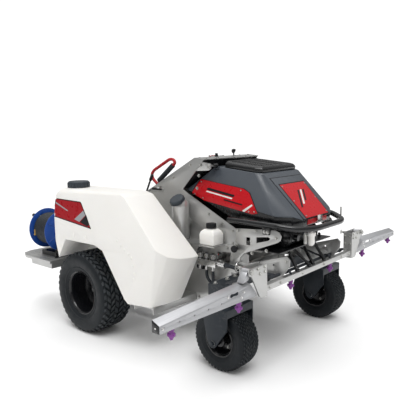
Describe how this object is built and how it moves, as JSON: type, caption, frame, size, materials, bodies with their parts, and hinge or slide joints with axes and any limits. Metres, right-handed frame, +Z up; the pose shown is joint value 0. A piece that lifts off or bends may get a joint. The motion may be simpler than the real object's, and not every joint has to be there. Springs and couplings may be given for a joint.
{
  "type": "stand-on turf sprayer",
  "caption": "Stand-on zero-turn turf sprayer with saddle tanks, hooded engine, caster front, folding spray boom, hose reel and fold-up operator platform.",
  "frame": {"origin": "on the ground under the middle of the overall length, in the centre plane", "axes": "+X forward towards the bumper, +Y to the operator's left, +Z up"},
  "size_m": [2.1048, 2.384, 1.125],
  "materials": {
    "silver_paint": "satin powder coat",
    "slate_paint": "satin powder coat",
    "black_paint": "gloss powder coat",
    "white_poly": "rotomoulded polyethylene, fine peel",
    "hood_plastic": "moulded, semi-gloss",
    "black_plastic": "moulded, matt",
    "tyre_rubber": "matt rubber",
    "rim_black": "gloss enamel",
    "red_paint": "satin powder coat",
    "blue_paint": "satin powder coat",
    "hose_rubber": "smooth rubber",
    "bright_metal": "polished",
    "wing_metal": "brushed extrusion",
    "purple_plastic": "moulded",
    "engine_alloy": "cast, satin black",
    "foam_pad": "soft skinned foam",
    "bare_steel": "machined"
  },
  "bodies": {
    "chassis": {"main_frame": "silver_paint", "nose_plates": "silver_paint", "front_beam": "slate_paint", "control_tower": "silver_paint", "console_panel": "silver_paint", "right_tank": "white_poly", "left_tank": "white_poly", "tank_cradles": "silver_paint", "fuel_tank": "black_plastic", "fuel_neck": "silver_paint", "oil_bottle": "white_poly", "engine": "engine_alloy", "muffler": "black_paint", "battery": "black_plastic", "spray_pump": "bare_steel", "valve_block": "bright_metal", "strainer": "white_poly", "transaxles": "slate_paint", "drive_belt": "black_plastic", "bumper": "black_paint", "tower_front_cover": "black_plastic", "centre_boom": "slate_paint", "boom_brackets": "silver_paint", "boom_struts": "black_paint", "centre_nozzles": "purple_plastic", "reel_shelf": "silver_paint", "reel_stand": "black_paint", "thigh_pad": "foam_pad"},
    "right_drive_wheel": {"right_tyre": "tyre_rubber", "right_rim": "rim_black"},
    "left_drive_wheel": {"left_tyre": "tyre_rubber", "left_rim": "rim_black"},
    "right_caster_fork": {"right_fork": "slate_paint"},
    "left_caster_fork": {"left_fork": "slate_paint"},
    "right_caster_wheel": {"right_caster_tyre": "tyre_rubber", "right_caster_rim": "rim_black"},
    "left_caster_wheel": {"left_caster_tyre": "tyre_rubber", "left_caster_rim": "rim_black"},
    "right_boom_wing": {"right_wing": "wing_metal", "right_nozzles": "purple_plastic"},
    "left_boom_wing": {"left_wing": "wing_metal", "left_nozzles": "purple_plastic"},
    "engine_hood": {"hood": "hood_plastic", "intake_grille": "black_plastic"},
    "hood_catch": {"hood_latch": "bright_metal"},
    "hose_reel": {"reel_drum": "blue_paint", "wound_hose": "hose_rubber"},
    "crank_knob": {"reel_knob": "black_plastic"},
    "right_tank_lid": {"right_lid": "black_plastic"},
    "left_tank_lid": {"left_lid": "black_plastic"},
    "filler_cap": {"fuel_cap": "black_plastic"},
    "reservoir_cap": {"bottle_cap": "black_plastic"},
    "right_drive_lever": {"right_lever": "red_paint"},
    "left_drive_lever": {"left_lever": "red_paint"},
    "throttle": {"throttle_lever": "black_plastic"},
    "parking_brake": {"brake_lever": "black_plastic"},
    "start_key": {"key_switch": "black_plastic"},
    "engine_sheave": {"engine_pulley": "bare_steel"},
    "pump_sheave": {"pump_pulley": "bare_steel"},
    "foot_platform": {"platform": "silver_paint"}
  },
  "joints": [
    {"name": "right_wheel_spin", "type": "hinge", "parent": "chassis", "child": "right_drive_wheel", "pos_m": [-0.288, -0.595, 0.254], "axis": [0, 1, 0], "continuous": true},
    {"name": "left_wheel_spin", "type": "hinge", "parent": "chassis", "child": "left_drive_wheel", "pos_m": [-0.288, 0.595, 0.254], "axis": [0, 1, 0], "continuous": true},
    {"name": "right_caster_swivel", "type": "hinge", "parent": "chassis", "child": "right_caster_fork", "pos_m": [0.777, -0.495, 0.412], "axis": [0, 0, 1], "continuous": true},
    {"name": "left_caster_swivel", "type": "hinge", "parent": "chassis", "child": "left_caster_fork", "pos_m": [0.777, 0.495, 0.412], "axis": [0, 0, 1], "continuous": true},
    {"name": "right_caster_spin", "type": "hinge", "parent": "right_caster_fork", "child": "right_caster_wheel", "pos_m": [0.709, -0.495, 0.166], "axis": [0, 1, 0], "continuous": true},
    {"name": "left_caster_spin", "type": "hinge", "parent": "left_caster_fork", "child": "left_caster_wheel", "pos_m": [0.709, 0.495, 0.166], "axis": [0, 1, 0], "continuous": true},
    {"name": "right_wing_fold", "type": "hinge", "parent": "chassis", "child": "right_boom_wing", "pos_m": [0.92, -0.604, 0.575], "axis": [-1, 0, 0], "range_deg": [0, 90]},
    {"name": "left_wing_fold", "type": "hinge", "parent": "chassis", "child": "left_boom_wing", "pos_m": [0.92, 0.604, 0.575], "axis": [1, 0, 0], "range_deg": [0, 90]},
    {"name": "hood_tilt", "type": "hinge", "parent": "chassis", "child": "engine_hood", "pos_m": [0.412, 0, 1.036], "axis": [0, -1, 0], "range_deg": [0, 55]},
    {"name": "hood_catch_flip", "type": "hinge", "parent": "engine_hood", "child": "hood_catch", "pos_m": [0.974, 0, 0.734], "axis": [0, 1, 0], "range_deg": [0, 80]},
    {"name": "reel_spin", "type": "hinge", "parent": "chassis", "child": "hose_reel", "pos_m": [-0.793, -0.54, 0.58], "axis": [1, 0, 0], "continuous": true},
    {"name": "crank_knob_spin", "type": "hinge", "parent": "hose_reel", "child": "crank_knob", "pos_m": [-0.913, -0.618, 0.676], "axis": [1, 0, 0], "continuous": true},
    {"name": "right_lid_turn", "type": "hinge", "parent": "chassis", "child": "right_tank_lid", "pos_m": [-0.461, -0.552, 0.905], "axis": [0, 0, 1], "range_deg": [0, 360]},
    {"name": "left_lid_turn", "type": "hinge", "parent": "chassis", "child": "left_tank_lid", "pos_m": [-0.461, 0.552, 0.905], "axis": [0, 0, 1], "range_deg": [0, 360]},
    {"name": "filler_cap_turn", "type": "hinge", "parent": "chassis", "child": "filler_cap", "pos_m": [0.238, -0.35496, 0.8365], "axis": [0, -0.5736, 0.8192], "range_deg": [0, 270]},
    {"name": "reservoir_cap_turn", "type": "hinge", "parent": "chassis", "child": "reservoir_cap", "pos_m": [0.48, -0.334, 0.705], "axis": [0, 0, 1], "range_deg": [0, 360]},
    {"name": "right_lever_push", "type": "hinge", "parent": "chassis", "child": "right_drive_lever", "pos_m": [-0.038, -0.205, 0.868], "axis": [0, 1, 0], "range_deg": [-12, 15], "stiffness_Nm_per_rad": 15},
    {"name": "left_lever_push", "type": "hinge", "parent": "chassis", "child": "left_drive_lever", "pos_m": [-0.038, 0.205, 0.868], "axis": [0, 1, 0], "range_deg": [-12, 15], "stiffness_Nm_per_rad": 15},
    {"name": "throttle_move", "type": "hinge", "parent": "chassis", "child": "throttle", "pos_m": [0.312, 0.096, 1.068], "axis": [0, 1, 0], "range_deg": [-25, 25]},
    {"name": "parking_brake_move", "type": "hinge", "parent": "chassis", "child": "parking_brake", "pos_m": [-0.118, -0.281, 0.838], "axis": [0, 1, 0], "range_deg": [-20, 30]},
    {"name": "key_turn", "type": "hinge", "parent": "chassis", "child": "start_key", "pos_m": [0.34, -0.11, 1.08], "axis": [0, 0, 1], "range_deg": [-90, 0]},
    {"name": "engine_sheave_spin", "type": "hinge", "parent": "chassis", "child": "engine_sheave", "pos_m": [0.592, 0, 0.556], "axis": [0, 0, 1], "continuous": true},
    {"name": "pump_sheave_spin", "type": "hinge", "parent": "chassis", "child": "pump_sheave", "pos_m": [0.352, 0, 0.556], "axis": [0, 0, 1], "continuous": true},
    {"name": "platform_fold", "type": "hinge", "parent": "chassis", "child": "foot_platform", "pos_m": [-0.388, 0, 0.219], "axis": [0, 1, 0], "range_deg": [0, 70]}
  ],
  "couplings": [
    {"joint": "pump_sheave_spin", "follows": "engine_sheave_spin", "ratio": 1.36}
  ]
}
